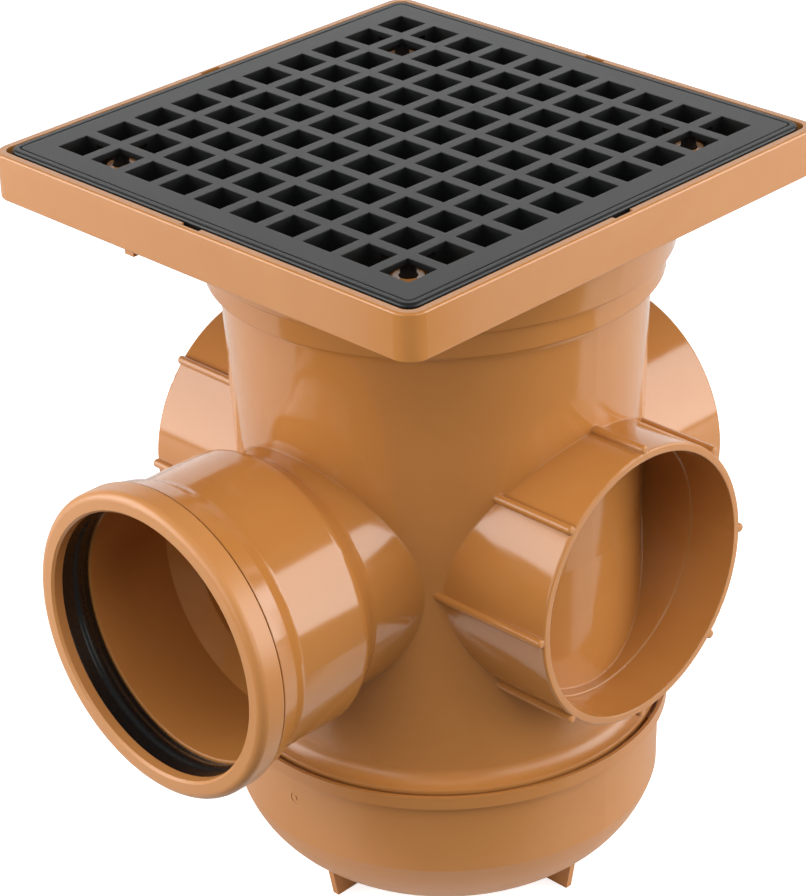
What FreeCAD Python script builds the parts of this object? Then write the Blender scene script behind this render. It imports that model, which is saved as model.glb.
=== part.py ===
"""Bottle gully: a trap set in the ground, with a square grating, a socketed outlet and three blank inlets.

Millimetres, +Z up. The body's vertical axis is the Z axis, and Z = 0 is the bed that the base stands on.
The outlet points along -Y. The blank inlets point along +X, +Y and -X.
"""
import FreeCAD
import Part
import math
import os

Vector = FreeCAD.Vector
ORIGIN = Vector(0, 0, 0)
X_AXIS = Vector(1, 0, 0)
Y_AXIS = Vector(0, 1, 0)
Z_AXIS = Vector(0, 0, 1)
SAME = 1e-6               # levels closer than this are the same level

# Common to all the mouldings
WALL = 3.4                # wall of the body, base and collar
PIPE_R = 55.0             # outside of the drain pipe that the branches take
SOCKET_GAP = 0.4          # pipe to socket, on the radius
FIT_GAP = 0.3             # between mouldings that slide over each other, on the radius
TURN_GAP = 0.4            # between the turning collar and the neck, on the radius

# Base: a round bowl on crossed foot ribs, with a gutter round its rim
FOOT_CLEARANCE = 4.0      # bed to the underside of the bowl
FOOT_REACH = 70.0         # axis to the tip of a foot, on the bed
FOOT_SPLAY = 4.0          # how much wider the foot is where it meets the bowl
FOOT_THICK = 3.0
BOWL_DEPTH = 35.0         # underside of the bowl to the knuckle where its wall stands up
BOWL_ROUND = 48.0
BASE_WALL_HEIGHT = 38.0   # knuckle to the top of the wall
BASE_DRAFT = 0.7          # how much the wall narrows down to the knuckle
GUTTER_WIDTH = 2.0
GUTTER_DEPTH = 3.0
GUTTER_RIM = 1.6          # thickness of the gutter's rim and floor
GUTTER_RIM_RISE = 1.0     # rim above the top of the wall
GUTTER_RIBS = 24
GUTTER_RIB_WIDTH = 4.0
GATE_RISE = 20.5          # knuckle to the mark of the mould's gate, under the outlet
GATE_R = 2.4
GATE_NUB_R = 1.0
GATE_DEPTH = 0.5

# Body: waisted cylinder with a tail inside the base, a flange on it, and a wider neck
WAIST_R = 82.5            # outside, at the level of the branches
TOP_DRAFT = 3.5           # how much the body widens from the waist up to the neck
FOOT_DRAFT = 3.0          # and from the waist down to the flange
TAIL_STEP = 1.5           # tail outside the foot of the body, on the radius
TAIL_LENGTH = 20.0
FLANGE_EDGE = 2.0
LEDGE_SLOPE = 2.0         # rise of the flange from its edge to the body
LEDGE_ROUND = 4.0
BRANCH_RISE = 84.0        # ledge to the axis of the branches
NECK_RISE = 108.0         # axis of the branches to the underside of the neck
NECK_STEP = 6.0           # neck outside the body, on the radius
NECK_ROUND = 5.0
NECK_HEIGHT = 21.0

# Blank inlets: stubs that end on the unbroken wall of the body, ribbed on both sides of the outlet
STUB_LENGTH = 28.0        # beyond the waist
STUB_EDGE = 0.8           # round of the mouth's outer edge
INLET_DEPTH = 22.0        # mouth to the step that stops the pipe
INLET_STOP = 0.6          # that step, on the radius
STUB_RIBS = 8
STUB_RIB_R = 1.9
STUB_RIB_STAND = 1.0      # centre of a rib's round beyond the outside of the stub
STUB_RIB_END = 1.0        # round at the end of a rib

# Outlet: bore, pipe socket, seal chamber and snap cap
PIPE_STOP = 6.0           # outlet's bore inside the pipe, on the radius
SHOULDER_OUT = 19.5       # waist to the shoulder of the socket
SHOULDER_SLOPE = 10.0     # length of the cone behind the shoulder
SHOULDER_ROUND = 5.0
SHOULDER_LAG = 1.0        # how much later the same cone starts and ends inside
SOCKET_DEPTH = 41.0       # shoulder to the seal chamber
CHAMBER_LENGTH = 14.0
CHAMBER_STEP = 3.0        # chamber outside the socket's bore, on the radius
FLARE_START = 7.0         # chamber back to where the bead starts to rise
FLARE_KNEE = 1.0          # chamber back to where the bead slopes less
FLARE_ROUND = 4.0
BEAD_SEAM = 0.8           # bead to the back of the cap
BEAD_SUNK = 0.4           # bead inside the outside of the cap
SNAP_RIDGE = 0.6
SNAP_WIDTH = 2.0
CAP_SKIRT = 6.0           # how far the cap reaches back over the chamber
CAP_WALL = 2.0
CAP_FRONT = 5.0
CAP_ROUND = 3.5
CAP_BORE_GAP = 0.8        # pipe to cap, on the radius
CAP_BORE_ROUND = 1.0
SEAL_GAP = 0.1            # seal ring to its chamber
SEAL_BAND = 1.8           # thickness of the ring at its edges
SEAL_LIP_GAP = 0.2        # pipe to the crown of the ring, on the radius

# Trap baffle: a plate across the shaft before the outlet, with a shelf that closes it over the top
BAFFLE_MARGIN = 7.0       # plate beyond the outlet's bore at each side
BAFFLE_THICK = 3.0
BAFFLE_DIP = 50.0         # lower edge of the plate below the outlet's invert
BAFFLE_RISE = 10.0        # top of the shelf above the outlet's crown
BAFFLE_GAP = 0.4          # plate and shelf to the walls of the body
BAFFLE_LAP = 7.0          # shelf beyond the plate, over the guides
GUIDE_THICK = 2.5
GUIDE_STAND = 6.0         # how far a guide reaches in over the plate
GUIDE_FOOT = 30.0         # lower edge of the plate to the foot of a guide
LIFT_TAB_WIDTH = 40.0
LIFT_TAB_HEIGHT = 24.0
LIFT_HOLE_R = 7.0

# Frame: square tray over an eccentric collar that turns on the neck
FRAME_HALF = 116.0
FRAME_ROUND = 8.5
FRAME_WALL = 3.6
FRAME_FLOOR = 4.0
FRAME_EDGE_ROUND = 1.0    # top and bottom edges of the tray, and lower edge of the collar
TRAY_DEPTH = 15.5         # floor to the top of the rim
REBATE_RISE = 1.8         # floor to the ledge that the grating rests on
REBATE_WIDTH = 5.0
COLLAR_WEB = 6.5          # neck's top to the underside of the tray
COLLAR_DROP = 16.5        # underside of the tray to the lower edge of the collar
COLLAR_WALL = 3.6
COLLAR_FLARE = 3.0        # how much the collar widens up to the tray
COLLAR_INSET = 2.0        # collar inside the nearest face of the frame
SPIGOT_GAP = 1.6          # neck's shoulder to the end of the spigot
NOTCH_LENGTH = 10.0
NOTCH_CUT = 1.7
NOTCH_DEPTH = 4.0
POST_R = 6.0
POST_BORE_R = 3.6
POST_SINK = 8.3           # top of the grating to the top of a post
POST_GAP = 0.3            # top of a post to the pocket over it
POST_POCKET = 1.0         # post to the pocket round it, on the radius
NIB_LENGTH = 5.0
NIB_WIDTH = 3.0
NIB_DROP = 2.0
NIB_OFF_CENTRE = 35.0
NIB_INSET = 1.0           # nib inside the face of the frame

# Grating: square holes in a plate that rests on the frame's ledge and pegs into its posts
GRATING_GAP = 1.4         # grating to the frame's rim
GRATING_ROUND = 6.0
GRATING_PROUD = 0.8       # grating above the frame's rim
GRATING_EDGE_ROUND = 1.4
HOLES = 10                # in each row and column
BAR = 4.9                 # between neighbouring holes
GRATING_MARGIN = 14.5     # edge of the grating to its holes
HOLE_DRAFT = 0.4          # how much a hole widens at each side on its way down
EDGE_GROOVE_IN = 3.0
EDGE_GROOVE_WIDTH = 0.8
EDGE_GROOVE_DEPTH = 0.6
POST_PITCHES = 4          # posts stand under the fourth bar crossing out from the centre
PEG_GAP = 0.4             # peg to the bore of its post, on the radius
PEG_HEAD = 4.0            # top of the grating to the top of a peg
PEG_TIP = 2.0             # frame's floor to the tip of a peg

# Radii that follow from each other, from the waist of the body outwards
FOOT_R = WAIST_R + FOOT_DRAFT
TOP_R = WAIST_R + TOP_DRAFT
TAIL_R = FOOT_R + TAIL_STEP
TAIL_END_R = TAIL_R - BASE_DRAFT * TAIL_LENGTH / BASE_WALL_HEIGHT
NECK_R = TOP_R + NECK_STEP
NECK_BORE_R = NECK_R - WALL
BASE_BORE_R = TAIL_R + FIT_GAP
BASE_R = BASE_BORE_R + WALL
RIM_BORE_R = BASE_R + GUTTER_WIDTH
RIM_R = RIM_BORE_R + GUTTER_RIM
SKIRT_BORE_R = NECK_R + TURN_GAP
COLLAR_R = SKIRT_BORE_R + COLLAR_WALL
COLLAR_TOP_R = COLLAR_R + COLLAR_FLARE
SPIGOT_R = NECK_BORE_R - TURN_GAP
THROAT_R = SPIGOT_R - WALL

# Radii that follow from the pipe
OUTLET_R = PIPE_R - PIPE_STOP
BORE_R = PIPE_R + SOCKET_GAP
STUB_R = BORE_R + WALL
CHAMBER_R = BORE_R + CHAMBER_STEP
BEAD_R = CHAMBER_R + WALL
CAP_R = BEAD_R + FIT_GAP + CAP_WALL
CAP_BORE_R = PIPE_R + CAP_BORE_GAP

# Levels that follow from each other, from the bed up
KNUCKLE_Z = FOOT_CLEARANCE + BOWL_DEPTH
BASE_TOP_Z = KNUCKLE_Z + BASE_WALL_HEIGHT
GUTTER_Z = BASE_TOP_Z - GUTTER_DEPTH
RIM_TOP_Z = BASE_TOP_Z + GUTTER_RIM_RISE
TAIL_Z = BASE_TOP_Z - TAIL_LENGTH
LEDGE_Z = BASE_TOP_Z + FLANGE_EDGE + LEDGE_SLOPE
BRANCH_Z = LEDGE_Z + BRANCH_RISE
NECK_Z = BRANCH_Z + NECK_RISE
NECK_SHOULDER_Z = NECK_Z + WALL
NECK_TOP_Z = NECK_Z + NECK_HEIGHT
TRAY_Z = NECK_TOP_Z + COLLAR_WEB
FLOOR_Z = TRAY_Z + FRAME_FLOOR
FRAME_TOP_Z = FLOOR_Z + TRAY_DEPTH
GRATING_TOP_Z = FRAME_TOP_Z + GRATING_PROUD
BARS_Z = FLOOR_Z + REBATE_RISE
POST_Z = GRATING_TOP_Z - POST_SINK

# Distances along a branch, from the axis of the body
STUB_MOUTH = WAIST_R + STUB_LENGTH
SHOULDER = WAIST_R + SHOULDER_OUT
CHAMBER = SHOULDER + SOCKET_DEPTH
OUTLET_MOUTH = CHAMBER + CHAMBER_LENGTH

# The baffle's plate crosses the shaft on a chord, a margin wider than the outlet's bore
SHAFT_R = WAIST_R - WALL
BAFFLE_HALF = OUTLET_R + BAFFLE_MARGIN
BAFFLE_BACK_Y = -math.sqrt(SHAFT_R ** 2 - BAFFLE_HALF ** 2)
BAFFLE_FRONT_Y = BAFFLE_BACK_Y + BAFFLE_THICK
BAFFLE_LOW_Z = BRANCH_Z - OUTLET_R - BAFFLE_DIP
BAFFLE_TOP_Z = BRANCH_Z + OUTLET_R + BAFFLE_RISE
SHELF_Z = BAFFLE_TOP_Z - BAFFLE_THICK

# The frame's centre lies off the body's axis, so that the collar comes almost flush with one side
FRAME_X = COLLAR_TOP_R + COLLAR_INSET - FRAME_HALF
TRAY_HALF = FRAME_HALF - FRAME_WALL
GRATING_HALF = TRAY_HALF - GRATING_GAP
HOLE_PITCH = (2 * (GRATING_HALF - GRATING_MARGIN) + BAR) / HOLES
HOLE = HOLE_PITCH - BAR
POST_OUT = POST_PITCHES * HOLE_PITCH
POSTS = [(FRAME_X + x * POST_OUT, y * POST_OUT) for x in (-1, 1) for y in (-1, 1)]


def outline(start, *steps):
    """A face in the XZ plane. A step is a point, or the middle and the end point of an arc."""
    edges = []
    here = Vector(start[0], 0, start[1])
    for step in steps + (start,):
        if isinstance(step[0], tuple):
            middle, end = (Vector(r, 0, z) for r, z in step)
            edges.append(Part.Arc(here, middle, end).toShape())
        else:
            end = Vector(step[0], 0, step[1])
            edges.append(Part.LineSegment(here, end).toShape())
        here = end
    return Part.Face(Part.Wire(edges))


def rounded(start, corner, end):
    """Steps of an outline that round a corner off, between points as far from it on its two sides."""
    share = 1 / (1 + math.dist(start, end) / (2 * math.dist(start, corner)))
    middle = tuple(c + ((a + b) / 2 - c) * share for a, b, c in zip(start, end, corner))
    return start, (middle, end)


def turned(start, *steps):
    """That outline, turned about the Z axis."""
    return outline(start, *steps).revolve(ORIGIN, Z_AXIS, 360)


def along_branch(shape, turn=0):
    """A shape made along +Z, laid along -Y at branch level and turned about the body's axis."""
    laid = shape.copy()
    laid.rotate(ORIGIN, X_AXIS, 90)
    laid.translate(Vector(0, 0, BRANCH_Z))
    laid.rotate(ORIGIN, Z_AXIS, turn)
    return laid


def block(low, high):
    """A box between two opposite corners."""
    size = [b - a for a, b in zip(low, high)]
    return Part.makeBox(*size, Vector(*low))


def rounded_square(half, corner, low, high):
    """An upright prism round the frame's centre, with rounded corners."""
    prism = block((FRAME_X - half, -half, low), (FRAME_X + half, half, high))
    uprights = [e for e in prism.Edges if e.BoundBox.ZLength > (high - low) / 2]
    return prism.makeFillet(corner, uprights)


def round_edges(solid, radius, level):
    """Round all the edges of a solid that lie at one level."""
    edges = [e for e in solid.Edges if all(abs(v.Z - level) < SAME for v in e.Vertexes)]
    return solid.makeFillet(radius, edges)


def bowl_round(inset, wall_r):
    """Start, middle and end of the bowl's round, from its flat floor out to its standing wall."""
    radius = BOWL_ROUND - inset
    centre_r = BASE_R - BASE_DRAFT - math.sqrt(2 * BOWL_ROUND * BOWL_DEPTH - BOWL_DEPTH ** 2)
    centre_z = FOOT_CLEARANCE + BOWL_ROUND
    sweep = math.asin((wall_r - centre_r) / radius)
    points = []
    for turn in (0, sweep / 2, sweep):
        points.append((centre_r + radius * math.sin(turn), centre_z - radius * math.cos(turn)))
    return points


def make_sump_base():
    """Round bowl with a standing wall, a gutter round its rim and two crossed foot ribs."""
    floor, middle, knuckle = bowl_round(0, BASE_R - BASE_DRAFT)
    in_floor, in_middle, in_knuckle = bowl_round(WALL, BASE_BORE_R - BASE_DRAFT)
    shell = turned(
        (0, floor[1]), floor, (middle, knuckle),
        (BASE_R, GUTTER_Z - GUTTER_DEPTH), (RIM_R, GUTTER_Z - GUTTER_RIM),
        (RIM_R, RIM_TOP_Z), (RIM_BORE_R, RIM_TOP_Z), (RIM_BORE_R, GUTTER_Z),
        (BASE_R, GUTTER_Z), (BASE_R, BASE_TOP_Z), (BASE_BORE_R, BASE_TOP_Z),
        in_knuckle, (in_middle, in_floor), (0, in_floor[1]))
    hollow = turned(
        (0, in_floor[1]), in_floor, (in_middle, in_knuckle),
        (BASE_BORE_R, BASE_TOP_Z), (0, BASE_TOP_Z))
    foot_top = FOOT_CLEARANCE + BOWL_DEPTH / 2
    fin = outline((0, 0), (FOOT_REACH, 0), (FOOT_REACH + FOOT_SPLAY, foot_top), (0, foot_top))
    fin.translate(Vector(0, -FOOT_THICK / 2, 0))
    fin = fin.extrude(Vector(0, FOOT_THICK, 0)).cut(hollow)
    pieces = []
    for quarter in range(4):
        foot = fin.copy()
        foot.rotate(ORIGIN, Z_AXIS, 90 * quarter)
        pieces.append(foot)
    for index in range(GUTTER_RIBS):
        rib = block(
            (BASE_R - GUTTER_RIM / 2, -GUTTER_RIB_WIDTH / 2, GUTTER_Z - GUTTER_RIM / 2),
            (RIM_R - GUTTER_RIM / 2, GUTTER_RIB_WIDTH / 2, BASE_TOP_Z - GUTTER_RIM_RISE))
        rib.rotate(ORIGIN, Z_AXIS, 360 / GUTTER_RIBS * (index + 0.5))
        pieces.append(rib)
    gate = Vector(0, GATE_DEPTH - BASE_R, KNUCKLE_Z + GATE_RISE)
    mark = Part.makeCylinder(GATE_R, WALL, gate, -Y_AXIS)
    mark = mark.cut(Part.makeCylinder(GATE_NUB_R, GATE_DEPTH, gate, -Y_AXIS))
    return shell.fuse(pieces).cut(mark).removeSplitter()


def body_envelope():
    """Outside of the body without its branches, as a filled solid."""
    ledge = (FOOT_R + LEDGE_ROUND, LEDGE_Z - LEDGE_SLOPE * LEDGE_ROUND / (BASE_R - FOOT_R))
    foot = (FOOT_R - FOOT_DRAFT * LEDGE_ROUND / BRANCH_RISE, LEDGE_Z + LEDGE_ROUND)
    return turned(
        (0, TAIL_Z), (TAIL_END_R, TAIL_Z), (TAIL_R, BASE_TOP_Z), (BASE_R, BASE_TOP_Z),
        (BASE_R, BASE_TOP_Z + FLANGE_EDGE), *rounded(ledge, (FOOT_R, LEDGE_Z), foot), (WAIST_R, BRANCH_Z),
        *rounded((TOP_R, NECK_Z - NECK_ROUND), (TOP_R, NECK_Z), (TOP_R + NECK_ROUND, NECK_Z)),
        (NECK_R, NECK_Z), (NECK_R, NECK_TOP_Z), (0, NECK_TOP_Z))


def body_hollow():
    """Shaft inside the body, with the shoulder in its neck."""
    return turned(
        (0, TAIL_Z), (TAIL_END_R - WALL, TAIL_Z), (TAIL_R - WALL, BASE_TOP_Z),
        (FOOT_R - WALL, LEDGE_Z), (SHAFT_R, BRANCH_Z), (TOP_R - WALL, NECK_SHOULDER_Z),
        (NECK_BORE_R, NECK_SHOULDER_Z), (NECK_BORE_R, NECK_TOP_Z), (0, NECK_TOP_Z))


def shaft_radius(level):
    """Radius of the shaft at a level between the branches and the neck."""
    return SHAFT_R + TOP_DRAFT * (level - BRANCH_Z) / (NECK_SHOULDER_Z - BRANCH_Z)


def inlet_envelope(ribs):
    """Outside of a blank inlet, with ribs along it."""
    rim = STUB_R - STUB_EDGE
    edge = rounded((STUB_R, STUB_MOUTH - STUB_EDGE), (STUB_R, STUB_MOUTH), (rim, STUB_MOUTH))
    sleeve = turned((0, 0), (STUB_R, 0), *edge, (0, STUB_MOUTH))
    for index in range(ribs):
        turn = 2 * math.pi * index / ribs
        stand = STUB_R + STUB_RIB_STAND
        foot = Vector(stand * math.cos(turn), stand * math.sin(turn), 0)
        rib = Part.makeCylinder(STUB_RIB_R, STUB_MOUTH, foot)
        sleeve = sleeve.fuse(round_edges(rib, STUB_RIB_END, STUB_MOUTH))
    return sleeve


def inlet_hollow():
    """Pipe socket of a blank inlet, and the narrower way from there to the body."""
    way_r = BORE_R - INLET_STOP
    stop = STUB_MOUTH - INLET_DEPTH
    return turned(
        (0, 0), (way_r, 0), (way_r, stop), (BORE_R, stop), (BORE_R, STUB_MOUTH), (0, STUB_MOUTH))


def snap_profile(gap):
    """The ridge round the mouth of the outlet, or with a gap the groove in the cap that takes it."""
    middle = OUTLET_MOUTH - CAP_SKIRT / 2
    foot = SNAP_WIDTH / 2 + gap
    crest = SNAP_WIDTH / 4 + gap
    low = BEAD_R + gap
    high = low + SNAP_RIDGE
    return [(low, middle - foot), (high, middle - crest), (high, middle + crest), (low, middle + foot)]


def outlet_envelope():
    """Outside of the outlet, with the flared bead round the seal and the ridge that holds the cap."""
    branch_r = OUTLET_R + WALL
    flare_r = CAP_R - BEAD_SUNK
    cone = SHOULDER - SHOULDER_SLOPE
    flare = CHAMBER - FLARE_START
    seam = OUTLET_MOUTH - CAP_SKIRT - BEAD_SEAM
    envelope = turned(
        (0, 0), (branch_r, 0), (branch_r, cone), (STUB_R, SHOULDER), (STUB_R, flare),
        (BEAD_R, CHAMBER - FLARE_KNEE), (flare_r, seam), (BEAD_R, seam),
        *snap_profile(0), (BEAD_R, OUTLET_MOUTH), (0, OUTLET_MOUTH))
    for radius, level in ((SHOULDER_ROUND, cone), (SHOULDER_ROUND, SHOULDER), (FLARE_ROUND, flare)):
        envelope = round_edges(envelope, radius, level)
    return envelope


def outlet_hollow():
    """Outlet bore, cone that stops the pipe, pipe socket and seal chamber."""
    stop = SHOULDER + SHOULDER_LAG
    return turned(
        (0, 0), (OUTLET_R, 0), (OUTLET_R, stop - SHOULDER_SLOPE), (BORE_R, stop), (BORE_R, CHAMBER),
        (CHAMBER_R, CHAMBER), (CHAMBER_R, OUTLET_MOUTH), (0, OUTLET_MOUTH))


def make_gully_body():
    """Body with its outlet, three blank inlets and the two guides of the baffle, in one moulding."""
    envelope = body_envelope()
    branches = [along_branch(outlet_envelope())]
    hollows = [along_branch(outlet_hollow()), body_hollow()]
    for turn, ribs in ((90, STUB_RIBS), (180, 0), (270, STUB_RIBS)):
        branches.append(along_branch(inlet_envelope(ribs), turn))
        hollows.append(along_branch(inlet_hollow(), turn).cut(envelope))
    body = envelope.fuse(branches).cut(hollows)
    guide_y = BAFFLE_FRONT_Y + BAFFLE_GAP
    guides = []
    for side in (-1, 1):
        edge, wall = sorted((side * (BAFFLE_HALF - GUIDE_STAND), side * WAIST_R))
        guide = block((edge, guide_y, BAFFLE_LOW_Z + GUIDE_FOOT), (wall, guide_y + GUIDE_THICK, SHELF_Z))
        guides.append(guide.common(envelope))
    return body.fuse(guides).removeSplitter()


def make_trap_baffle():
    """Plate that dips into the water before the outlet, its shelf, and a tab to lift it out by."""
    half = BAFFLE_HALF - BAFFLE_GAP
    plate = block((-half, BAFFLE_BACK_Y, BAFFLE_LOW_Z), (half, BAFFLE_FRONT_Y, BAFFLE_TOP_Z))
    shelf_r = shaft_radius(SHELF_Z) - BAFFLE_GAP
    shelf = Part.makeCylinder(shelf_r, BAFFLE_THICK, Vector(0, 0, SHELF_Z))
    shelf = shelf.common(block(
        (-shelf_r, -shelf_r, SHELF_Z), (shelf_r, BAFFLE_FRONT_Y + BAFFLE_LAP, BAFFLE_TOP_Z)))
    tab_top = BAFFLE_TOP_Z + LIFT_TAB_HEIGHT
    tab = block(
        (-LIFT_TAB_WIDTH / 2, BAFFLE_BACK_Y, SHELF_Z), (LIFT_TAB_WIDTH / 2, BAFFLE_FRONT_Y, tab_top))
    corners = [e for e in tab.Edges if e.BoundBox.ZMin > SHELF_Z and e.BoundBox.YLength > BAFFLE_THICK / 2]
    tab = tab.makeFillet(LIFT_TAB_WIDTH / 4, corners)
    finger_place = Vector(0, BAFFLE_BACK_Y, BAFFLE_TOP_Z + LIFT_TAB_HEIGHT / 2)
    finger = Part.makeCylinder(LIFT_HOLE_R, BAFFLE_THICK, finger_place, Y_AXIS)
    return plate.fuse([shelf, tab]).cut(finger).removeSplitter()


def make_outlet_seal_ring():
    """Rubber ring in the chamber, with a crowned inside that grips the pipe."""
    back = CHAMBER + SEAL_GAP
    front = OUTLET_MOUTH - SEAL_GAP
    outer = CHAMBER_R - SEAL_GAP
    edge = outer - SEAL_BAND
    crown = (PIPE_R + SEAL_LIP_GAP, (back + front) / 2)
    return along_branch(turned((outer, back), (edge, back), (crown, (edge, front)), (outer, front)))


def make_outlet_retaining_cap():
    """Snap cap that shuts the seal chamber round the pipe."""
    back = OUTLET_MOUTH - CAP_SKIRT
    front = OUTLET_MOUTH + CAP_FRONT
    skirt_r = BEAD_R + FIT_GAP
    face_r = CAP_R - CAP_ROUND
    return along_branch(turned(
        (skirt_r, back), *snap_profile(FIT_GAP), (skirt_r, OUTLET_MOUTH), (CAP_BORE_R, OUTLET_MOUTH),
        (CAP_BORE_R, front - CAP_BORE_ROUND), (CAP_BORE_R + CAP_BORE_ROUND, front),
        *rounded((face_r, front), (CAP_R, front), (CAP_R, front - CAP_ROUND)), (CAP_R, back)))


def make_top_frame():
    """Square tray with posts for the grating, over a collar that turns on the neck."""
    tray = rounded_square(FRAME_HALF, FRAME_ROUND, TRAY_Z, FRAME_TOP_Z)
    for level in (TRAY_Z, FRAME_TOP_Z):
        tray = round_edges(tray, FRAME_EDGE_ROUND, level)
    tray_round = FRAME_ROUND - FRAME_WALL
    tray = tray.cut(rounded_square(TRAY_HALF, tray_round, BARS_Z, FRAME_TOP_Z))
    tray = tray.cut(rounded_square(TRAY_HALF - REBATE_WIDTH, tray_round, FLOOR_Z, FRAME_TOP_Z))
    spigot_z = NECK_SHOULDER_Z + SPIGOT_GAP
    collar_z = TRAY_Z - COLLAR_DROP
    collar = turned(
        (THROAT_R, FLOOR_Z), (THROAT_R, spigot_z), (SPIGOT_R, spigot_z), (SPIGOT_R, NECK_TOP_Z),
        (SKIRT_BORE_R, NECK_TOP_Z), (SKIRT_BORE_R, collar_z), (COLLAR_R - FRAME_EDGE_ROUND, collar_z),
        (COLLAR_R, collar_z + FRAME_EDGE_ROUND), (COLLAR_TOP_R, TRAY_Z), (COLLAR_TOP_R, FLOOR_Z))
    throat = Part.makeCylinder(THROAT_R, FRAME_FLOOR, Vector(0, 0, TRAY_Z))
    posts = []
    bores = []
    for x, y in POSTS:
        posts.append(Part.makeCylinder(POST_R, POST_Z - TRAY_Z, Vector(x, y, TRAY_Z)))
        bores.append(Part.makeCylinder(POST_BORE_R, TRAY_DEPTH, Vector(x, y, FLOOR_Z)))
    notches = []
    for turn in range(4):
        notch = block(
            (FRAME_X - NOTCH_LENGTH / 2, -TRAY_HALF - NOTCH_CUT, FRAME_TOP_Z - NOTCH_DEPTH),
            (FRAME_X + NOTCH_LENGTH / 2, -GRATING_HALF, FRAME_TOP_Z))
        notch.rotate(Vector(FRAME_X, 0, 0), Z_AXIS, 90 * turn)
        notches.append(notch)
    nib_x = FRAME_X - NIB_OFF_CENTRE
    nib_y = NIB_INSET - FRAME_HALF
    nib = block(
        (nib_x - NIB_LENGTH / 2, nib_y, TRAY_Z - NIB_DROP),
        (nib_x + NIB_LENGTH / 2, nib_y + NIB_WIDTH, FLOOR_Z))
    frame = tray.fuse([collar, nib] + posts).cut([throat] + bores + notches)
    return frame.removeSplitter()


def make_grating():
    """Plate of square holes that rests on the tray's ledge, with pegs for the bores of its posts."""
    plate = rounded_square(GRATING_HALF, GRATING_ROUND, BARS_Z, GRATING_TOP_Z)
    plate = round_edges(plate, GRATING_EDGE_ROUND, GRATING_TOP_Z)
    top = HOLE / 2
    low = top + HOLE_DRAFT
    hole = Part.makeWedge(-low, 0, -low, -top, -top, low, GRATING_TOP_Z - BARS_Z, low, top, top)
    hole.rotate(ORIGIN, X_AXIS, 90)
    holes = []
    first = -HOLE_PITCH * (HOLES - 1) / 2
    for row in range(HOLES):
        for column in range(HOLES):
            place = Vector(FRAME_X + first + column * HOLE_PITCH, first + row * HOLE_PITCH, BARS_Z)
            holes.append(hole.translated(place))
    groove_half = GRATING_HALF - EDGE_GROOVE_IN
    groove_z = GRATING_TOP_Z - EDGE_GROOVE_DEPTH
    groove_round = GRATING_ROUND - EDGE_GROOVE_IN
    groove = rounded_square(groove_half, groove_round, groove_z, GRATING_TOP_Z)
    groove = groove.cut(rounded_square(
        groove_half - EDGE_GROOVE_WIDTH, groove_round - EDGE_GROOVE_WIDTH, groove_z, GRATING_TOP_Z))
    pockets = []
    pegs = []
    for x, y in POSTS:
        pocket_height = POST_Z + POST_GAP - BARS_Z
        pockets.append(Part.makeCylinder(POST_R + POST_POCKET, pocket_height, Vector(x, y, BARS_Z)))
        tip = Vector(x, y, FLOOR_Z + PEG_TIP)
        height = GRATING_TOP_Z - PEG_HEAD - tip.z
        pegs.append(Part.makeCylinder(POST_BORE_R - PEG_GAP, height, tip))
    return plate.cut([groove] + holes + pockets).fuse(pegs).removeSplitter()


SUB_PARTS = {
    "sump_base": make_sump_base,
    "gully_body": make_gully_body,
    "trap_baffle": make_trap_baffle,
    "outlet_seal_ring": make_outlet_seal_ring,
    "outlet_retaining_cap": make_outlet_retaining_cap,
    "top_frame": make_top_frame,
    "grating": make_grating,
}

os.makedirs("parts", exist_ok=True)
for name, make in SUB_PARTS.items():
    solid = make()
    solid.exportStep(f"parts/{name}.step")
    print(name, "valid" if solid.isValid() else "NOT VALID", len(solid.Solids), "solid")
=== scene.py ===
import math

import bmesh
import bpy
from mathutils import Matrix, Vector


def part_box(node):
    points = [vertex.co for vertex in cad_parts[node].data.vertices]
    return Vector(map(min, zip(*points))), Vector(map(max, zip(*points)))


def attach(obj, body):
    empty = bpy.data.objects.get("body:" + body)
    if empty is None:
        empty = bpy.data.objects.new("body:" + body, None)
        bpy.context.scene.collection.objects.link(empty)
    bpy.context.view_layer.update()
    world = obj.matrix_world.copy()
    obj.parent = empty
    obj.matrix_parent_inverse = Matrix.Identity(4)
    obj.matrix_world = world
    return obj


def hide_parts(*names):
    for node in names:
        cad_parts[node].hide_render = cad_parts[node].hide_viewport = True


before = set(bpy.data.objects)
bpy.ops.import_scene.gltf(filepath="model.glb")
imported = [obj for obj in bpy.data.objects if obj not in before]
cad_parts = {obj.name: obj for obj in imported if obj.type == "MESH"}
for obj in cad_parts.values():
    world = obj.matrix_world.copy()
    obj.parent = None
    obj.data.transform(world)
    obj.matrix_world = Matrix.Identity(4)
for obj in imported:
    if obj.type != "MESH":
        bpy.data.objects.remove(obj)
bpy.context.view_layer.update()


# Sump base
# A bowl with a gutter round its rim, injection moulded in orange-brown uPVC and glued under the body.
# Its tool is only lightly polished, so the skin is satin, with faint clouds where the melt flowed.
def linear(hex_colour):
    """An sRGB hex colour as the linear RGBA that a shader's socket takes."""
    channels = [int(hex_colour[i:i + 2], 16) / 255 for i in (1, 3, 5)]
    return [c / 12.92 if c <= 0.04045 else ((c + 0.055) / 1.055) ** 2.4 for c in channels] + [1.0]


def add_node(owner, kind, links=(), **settings):
    """A shader node with its settings, and links given as (own input, other node, its output)."""
    node = owner.node_tree.nodes.new(kind)
    for name, value in settings.items():
        if hasattr(node, name):
            setattr(node, name, value)
        else:
            node.inputs[name.replace("_", " ")].default_value = value
    for own, other, output in links:
        owner.node_tree.links.new(node.inputs[own], other.outputs[output])
    return node


def new_material(name):
    """An empty node material, and its output node."""
    material = bpy.data.materials.new(name)
    material.use_nodes = True
    material.node_tree.nodes.clear()
    return material, add_node(material, "ShaderNodeOutputMaterial")


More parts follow.
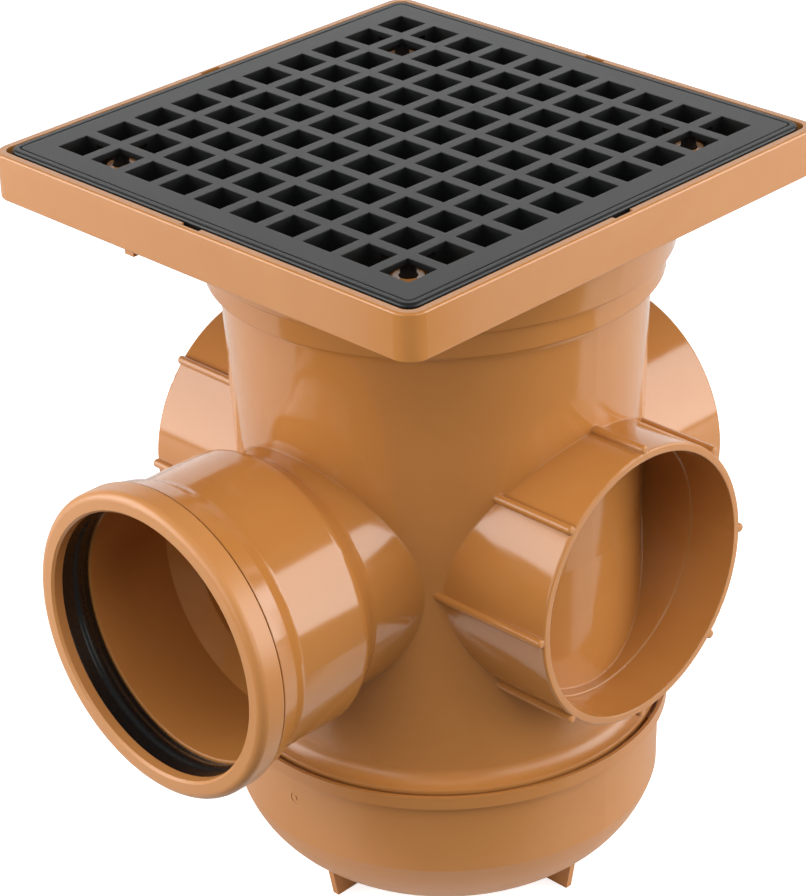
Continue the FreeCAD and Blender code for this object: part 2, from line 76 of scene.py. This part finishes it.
def finish_with(node_name, material):
    """Put a material on all of a CAD node."""
    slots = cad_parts[node_name].data.materials
    slots.clear()
    slots.append(material)


MM = 0.001
UPVC_DEEP = linear("#AA6E35")
UPVC_PALE = linear("#B2783F")
FLOW_MARK = 45 * MM
CLOUD_SHINE = -0.02
CLOUD_DULL = 0.03
SKIN_WAVE = 14 * MM
WAVE_DEPTH = 0.15 * MM
WAVE_STRENGTH = 0.3
FOOT_LOW = 80 * MM
FOOT_HIGH = 105 * MM
SATIN_TOOL = 0.34
POLISHED_TOOL = 0.12
# The Mix node has sockets of one name for each data type, so those for colours are found by number.
MIX_FIRST = 6
MIX_SECOND = 7
MIX_RESULT = 2


def moulded_upvc(name, deep, pale, foot_finish, finish, edge_round):
    """uPVC with slow flow marks, a slightly wavy skin, softened edges, and a foot with its own finish."""
    material, output = new_material(name)
    place = add_node(material, "ShaderNodeTexCoord")
    height = add_node(material, "ShaderNodeSeparateXYZ", [("Vector", place, "Object")])
    flow = add_node(material, "ShaderNodeTexNoise", [("Vector", place, "Object")],
                    Scale=1 / FLOW_MARK, Detail=3.0, Roughness=0.6, Distortion=0.8)
    colour = add_node(material, "ShaderNodeMix", [("Factor", flow, "Fac")], data_type="RGBA")
    colour.inputs[MIX_FIRST].default_value = deep
    colour.inputs[MIX_SECOND].default_value = pale
    wave = add_node(material, "ShaderNodeTexNoise", [("Vector", place, "Object")],
                    Scale=1 / SKIN_WAVE, Detail=1.0)
    edge = add_node(material, "ShaderNodeBevel", Radius=edge_round)
    bump = add_node(material, "ShaderNodeBump", [("Height", wave, "Fac"), ("Normal", edge, "Normal")],
                    Strength=WAVE_STRENGTH, Distance=WAVE_DEPTH)
    polish = add_node(material, "ShaderNodeMapRange", [("Value", height, "Z")],
                      From_Min=FOOT_LOW, From_Max=FOOT_HIGH, To_Min=foot_finish, To_Max=finish)
    clouds = add_node(material, "ShaderNodeMapRange", [("Value", flow, "Fac")],
                      To_Min=CLOUD_SHINE, To_Max=CLOUD_DULL)
    rough = add_node(material, "ShaderNodeMath", [(0, polish, "Result"), (1, clouds, "Result")],
                     operation="ADD")
    shader = add_node(material, "ShaderNodeBsdfPrincipled",
                      [("Roughness", rough, "Value"), ("Normal", bump, "Normal"),
                       ("Base Color", colour, MIX_RESULT)],
                      IOR=1.53)
    material.node_tree.links.new(output.inputs["Surface"], shader.outputs["BSDF"])
    return material


BASE_EDGE = 0.25 * MM
finish_with("sump_base", moulded_upvc("satin upvc", UPVC_DEEP, UPVC_PALE,
                                      SATIN_TOOL, SATIN_TOOL, BASE_EDGE))


# Body
# The shaft, neck, outlet branch and three blank inlets are one injection moulding in the same uPVC.
# Its tool is polished down to the foot, so it is glossy above that, and the branches' joints look soft.
JOINT_ROUND = 1.0 * MM
finish_with("gully_body", moulded_upvc("glossy upvc over a satin foot", UPVC_DEEP, UPVC_PALE,
                                       SATIN_TOOL, POLISHED_TOOL, JOINT_ROUND))


# Trap baffle
# A flat uPVC plate with a shelf, which slides down between two guides in the shaft and holds water back.
# It comes from a polished tool, as the body does, and its edges are crisper.
CRISP_EDGE = 0.4 * MM
polished_upvc = moulded_upvc("glossy upvc", UPVC_DEEP, UPVC_PALE, POLISHED_TOOL, POLISHED_TOOL, CRISP_EDGE)
finish_with("trap_baffle", polished_upvc)


# Seal ring
# A ring of black rubber, moulded smooth, that lies in the outlet's mouth behind the cap.
# A round lip stands inside it and grips the pipe, and a fine bloom on the skin makes its shine uneven.
SEAL_BAND = 1.9 * MM
LIP_RISE = 1.2 * MM
LIP_BACK = 2.6 * MM
LIP_SLOPE = 2.0 * MM
LIP_CREST = 1.8 * MM
LIP_ROUND = 0.8 * MM
ROUND_STEPS = 4
SEAL_SIDES = 128
SMOOTH_TURN = math.radians(30)
TOUCHING = 0.001 * MM


def new_piece(name, mesh):
    """An object for a finished bmesh, which is used up."""
    data = bpy.data.meshes.new(name)
    mesh.to_mesh(data)
    mesh.free()
    piece = bpy.data.objects.new(name, data)
    bpy.context.scene.collection.objects.link(piece)
    return piece


def turn_outline(mesh, points, centre, axis, sides):
    """Turn a closed outline once round an axis, into a ring."""
    corners = [mesh.verts.new(point) for point in points]
    edges = [mesh.edges.new((corners[i - 1], corners[i])) for i in range(len(corners))]
    bmesh.ops.spin(mesh, geom=corners + edges, cent=centre, axis=axis, angle=math.tau,
                   steps=sides, use_merge=True)
    bmesh.ops.remove_doubles(mesh, verts=mesh.verts, dist=TOUCHING)
    bmesh.ops.recalc_face_normals(mesh, faces=mesh.faces)


def lip_edges(mesh, middle, reach):
    """The edges that run round the inside of a ring, no further out than a radius."""
    found = []
    for edge in mesh.edges:
        first, second = (vert.co - middle for vert in edge.verts)
        runs_round = abs(first.y - second.y) < TOUCHING
        if runs_round and max(first.xz.length, second.xz.length) < reach + TOUCHING:
            found.append(edge)
    return found


seal_low, seal_high = (Vector(corner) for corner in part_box("outlet_seal_ring"))
seal_middle = Vector((0, 0, (seal_low.z + seal_high.z) / 2))
band_r = seal_high.x - SEAL_BAND
crest_r = band_r - LIP_RISE
lip_back = seal_high.y - LIP_BACK
crest_back = lip_back - LIP_SLOPE
crest_front = crest_back - LIP_CREST
lip_front = crest_front - LIP_SLOPE
seal_outline = [(seal_high.x, seal_high.y), (band_r, seal_high.y), (band_r, lip_back),
                (crest_r, crest_back), (crest_r, crest_front),
                (band_r, lip_front), (band_r, seal_low.y), (seal_high.x, seal_low.y)]
ring = bmesh.new()
turn_outline(ring, [seal_middle + Vector((radius, y, 0)) for radius, y in seal_outline],
             seal_middle, (0, 1, 0), SEAL_SIDES)
bmesh.ops.bevel(ring, geom=lip_edges(ring, seal_middle, band_r), offset=LIP_ROUND, affect="EDGES",
                segments=ROUND_STEPS, profile=0.5, material=-1)
for face in ring.faces:
    face.smooth = True
for edge in ring.edges:
    edge.smooth = edge.calc_face_angle() < SMOOTH_TURN
seal = new_piece("lipped_seal_ring", ring)
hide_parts("outlet_seal_ring")
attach(seal, "gully")

SEAL_BLACK = linear("#121313")
BLOOM_PATCH = 6 * MM
BLOOM_SHINE = 0.24
BLOOM_DULL = 0.3


def seal_rubber(name):
    """Smooth black rubber, a little duller where the bloom is."""
    material, output = new_material(name)
    place = add_node(material, "ShaderNodeTexCoord")
    bloom = add_node(material, "ShaderNodeTexNoise", [("Vector", place, "Object")],
                     Scale=1 / BLOOM_PATCH, Detail=3.0)
    rough = add_node(material, "ShaderNodeMapRange", [("Value", bloom, "Fac")],
                     To_Min=BLOOM_SHINE, To_Max=BLOOM_DULL)
    shader = add_node(material, "ShaderNodeBsdfPrincipled", [("Roughness", rough, "Result")],
                      Base_Color=SEAL_BLACK, IOR=1.52)
    material.node_tree.links.new(output.inputs["Surface"], shader.outputs["BSDF"])
    return material


seal.data.materials.append(seal_rubber("smooth black rubber"))


# Outlet retaining cap
# A snap cap in uPVC that is pushed over the bead of the outlet's mouth and shuts the seal ring in.
# It comes from a lightly polished tool, so it is satin. Its colour is the body's uPVC painted paler, as
# painted light for the brighter light the cap catches.
CAP_DEEP_PAINTED_LIGHTER = linear("#B47842")
CAP_PALE_PAINTED_LIGHTER = linear("#BC824A")
finish_with("outlet_retaining_cap", moulded_upvc("satin upvc painted lighter", CAP_DEEP_PAINTED_LIGHTER, CAP_PALE_PAINTED_LIGHTER,
                                                 SATIN_TOOL, SATIN_TOOL, CRISP_EDGE))


# Top frame
# A square uPVC tray with a post near each corner, over a collar that turns on the body's neck.
# Its upright faces are polished as the body is.
finish_with("top_frame", polished_upvc)


# Grating
# One moulding in black polypropylene: a plate of square holes, with pegs that drop into the frame's posts.
# Round each peg the bars are hollowed from below, so that the post's ring shows through the corner hole.
HOLES = 10
BAR = 4.9 * MM
MARGIN = 14.5 * MM
POST_PITCHES = 4
PEG_R = 3.1 * MM
HOLLOW_R = 12 * MM
HOLLOW_SKIN = 2.5 * MM
HOLLOW_SIDES = 50
BELOW_BARS = 1 * MM
grating_low, grating_high = (Vector(corner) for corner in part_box("grating"))
grating_middle = (grating_low + grating_high) / 2
hole_pitch = (grating_high.x - grating_low.x - 2 * MARGIN + BAR) / HOLES
post_out = POST_PITCHES * hole_pitch


def hollow_rings():
    """A ring round each peg, from below the bars to the skin that is left on top."""
    rings = bmesh.new()
    floor = grating_low.z - BELOW_BARS
    roof = grating_high.z - HOLLOW_SKIN
    section = [(PEG_R, floor), (HOLLOW_R, floor), (HOLLOW_R, roof), (PEG_R, roof)]
    for x in (-1, 1):
        for y in (-1, 1):
            peg = Vector((grating_middle.x + x * post_out, grating_middle.y + y * post_out, 0))
            points = [peg + Vector((radius, 0, height)) for radius, height in section]
            turn_outline(rings, points, peg, (0, 0, 1), HOLLOW_SIDES)
    return rings


plate = bmesh.new()
plate.from_mesh(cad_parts["grating"].data)
bmesh.ops.remove_doubles(plate, verts=plate.verts, dist=TOUCHING)
grating = new_piece("hollowed_grating", plate)
cutter = new_piece("grating_hollows", hollow_rings())
hollowing = grating.modifiers.new("hollows", "BOOLEAN")
hollowing.operation = "DIFFERENCE"
hollowing.solver = "EXACT"
hollowing.object = cutter
hollowed = bpy.data.meshes.new_from_object(grating.evaluated_get(bpy.context.evaluated_depsgraph_get()))
grating.modifiers.clear()
grating.data = hollowed
bpy.data.objects.remove(cutter)
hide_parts("grating")
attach(grating, "grate")

GRATING_BLACK = linear("#131414")
# A real spark grain is finer than this and wouldn't show, so it is drawn coarser.
SPARK_GRAIN = 0.7 * MM
GRAIN_DEPTH = 0.1 * MM
GRAIN_STRENGTH = 0.15
SPARKED_TOOL = 0.42
BAR_EDGE = 0.5 * MM


def moulded_polypropylene(name):
    """Black polypropylene with a fine grain from a spark-eroded tool, which spreads the shine."""
    material, output = new_material(name)
    place = add_node(material, "ShaderNodeTexCoord")
    grain = add_node(material, "ShaderNodeTexNoise", [("Vector", place, "Object")],
                     Scale=1 / SPARK_GRAIN, Detail=3.0)
    edge = add_node(material, "ShaderNodeBevel", Radius=BAR_EDGE)
    bump = add_node(material, "ShaderNodeBump", [("Height", grain, "Fac"), ("Normal", edge, "Normal")],
                    Strength=GRAIN_STRENGTH, Distance=GRAIN_DEPTH)
    shader = add_node(material, "ShaderNodeBsdfPrincipled", [("Normal", bump, "Normal")],
                      Base_Color=GRATING_BLACK, Roughness=SPARKED_TOOL, IOR=1.49)
    material.node_tree.links.new(output.inputs["Surface"], shader.outputs["BSDF"])
    return material


grating.data.materials.clear()
grating.data.materials.append(moulded_polypropylene("satin black polypropylene"))


# Studio
# A white table runs under the object and ends just before it. Behind stands a backlit wall, which the
# camera looks through, so that the object shows from the back too. An upright soft box stands at each
# side, two weaker ones fill from the front, and one hangs over the camera.
VIEW_TURN = Matrix.Rotation(math.radians(45), 4, "Z")
TABLE_HALF = 1.3
TABLE_FRONT = -0.13
TABLE_BACK = 1.2
WALL_HEIGHT = 1.3
SHEET_WHITE = linear("#E8E8E8")


def stage_sheet(name, corners, material):
    """A flat rectangle of the set, placed as the camera sees it."""
    mesh = bmesh.new()
    mesh.faces.new([mesh.verts.new(VIEW_TURN @ Vector(corner)) for corner in corners])
    sheet = new_piece(name, mesh)
    sheet.data.materials.append(material)
    return sheet


def white_sheet(name, ray, glow, ray_glow):
    """A matt white sheet that shines, with another strength for one kind of ray."""
    material, output = new_material(name)
    ray_kind = add_node(material, "ShaderNodeLightPath")
    strength = add_node(material, "ShaderNodeMapRange", [("Value", ray_kind, ray)],
                        To_Min=glow, To_Max=ray_glow)
    skin = add_node(material, "ShaderNodeBsdfDiffuse", Color=SHEET_WHITE)
    backlight = add_node(material, "ShaderNodeEmission", [("Strength", strength, "Result")])
    sheet = add_node(material, "ShaderNodeAddShader", [(0, skin, "BSDF"), (1, backlight, "Emission")])
    material.node_tree.links.new(output.inputs["Surface"], sheet.outputs["Shader"])
    return material


table_corners = [(-TABLE_HALF, TABLE_FRONT, 0), (TABLE_HALF, TABLE_FRONT, 0),
                 (TABLE_HALF, TABLE_BACK, 0), (-TABLE_HALF, TABLE_BACK, 0)]
stage_sheet("studio_table", table_corners,
            white_sheet("white table", "Is Camera Ray", glow=0.0, ray_glow=0.75))
wall_corners = [(-TABLE_HALF, TABLE_BACK, 0), (TABLE_HALF, TABLE_BACK, 0),
                (TABLE_HALF, TABLE_BACK, WALL_HEIGHT), (-TABLE_HALF, TABLE_BACK, WALL_HEIGHT)]
wall = stage_sheet("studio_wall", wall_corners,
                   white_sheet("backlit wall", "Is Glossy Ray", glow=0.15, ray_glow=0.4))
wall.visible_camera = False

WHITE = (1, 1, 1, 1)
ROOM_GLOW = 0.15
SEEN_ROOM_GLOW = 1.0
world = bpy.data.worlds.new("dim room")
bpy.context.scene.world = world
world.use_nodes = True
room = world.node_tree.nodes["Background"]
room.inputs["Color"].default_value = WHITE
room.inputs["Strength"].default_value = ROOM_GLOW
seen_room = add_node(world, "ShaderNodeBackground", Color=WHITE, Strength=SEEN_ROOM_GLOW)
room_ray = add_node(world, "ShaderNodeLightPath")
room_mix = add_node(world, "ShaderNodeMixShader", [("Fac", room_ray, "Is Camera Ray"),
                                                   (1, room, "Background"), (2, seen_room, "Background")])
world_output = world.node_tree.nodes["World Output"]
world.node_tree.links.new(world_output.inputs["Surface"], room_mix.outputs["Shader"])


def soft_box(name, turn, distance, height, aim_height, width, tall, watts, mirrored=True):
    """A soft box at an angle in degrees round the object, aimed at a height on its axis."""
    lamp = bpy.data.lights.new(name, "AREA")
    lamp.shape = "RECTANGLE"
    lamp.size = width
    lamp.size_y = tall
    lamp.energy = watts
    box = bpy.data.objects.new(name, lamp)
    angle = math.radians(turn)
    box.location = (distance * math.cos(angle), distance * math.sin(angle), height)
    aim = Vector((0, 0, aim_height)) - box.location
    box.rotation_euler = aim.to_track_quat("-Z", "Y").to_euler()
    box.visible_glossy = mirrored
    bpy.context.scene.collection.objects.link(box)


for name, turn in (("right box", 42), ("left box", 228)):
    soft_box(name, turn, distance=1.2, height=0.55, aim_height=0.55, width=0.9, tall=1.0, watts=14.4)
for name, turn in (("right fill", 0), ("left fill", -90)):
    soft_box(name, turn, distance=1.3, height=0.6, aim_height=0.4, width=1.0, tall=0.9, watts=6.3)
soft_box("key box", -45, distance=0.8, height=1.38, aim_height=0.17, width=1.1, tall=0.9, watts=12,
         mirrored=False)


# Camera
# A long lens from the front right, a little above the grating, turned slightly about its own axis.
# Its place and angles are fitted to the corners of the grating and the mouths of the branches.
CAMERA_PLACE = (0.7808, -0.7942, 0.7815)
CAMERA_AZIMUTH = math.radians(45.29)
CAMERA_ELEVATION = math.radians(28.08)
CAMERA_ROLL = math.radians(-1.865)
LENS = 123.42
SENSOR_HEIGHT = 36.0
lens = bpy.data.cameras.new("camera")
lens.sensor_fit = "VERTICAL"
lens.sensor_height = SENSOR_HEIGHT
lens.lens = LENS
camera = bpy.data.objects.new("camera", lens)
azimuth_turn = Matrix.Rotation(CAMERA_AZIMUTH, 4, "Z")
elevation_turn = Matrix.Rotation(math.pi / 2 - CAMERA_ELEVATION, 4, "X")
roll_turn = Matrix.Rotation(CAMERA_ROLL, 4, "Z")
camera.matrix_world = Matrix.Translation(CAMERA_PLACE) @ azimuth_turn @ elevation_turn @ roll_turn
bpy.context.scene.collection.objects.link(camera)
bpy.context.scene.camera = camera
bpy.context.scene.view_settings.view_transform = "Standard"
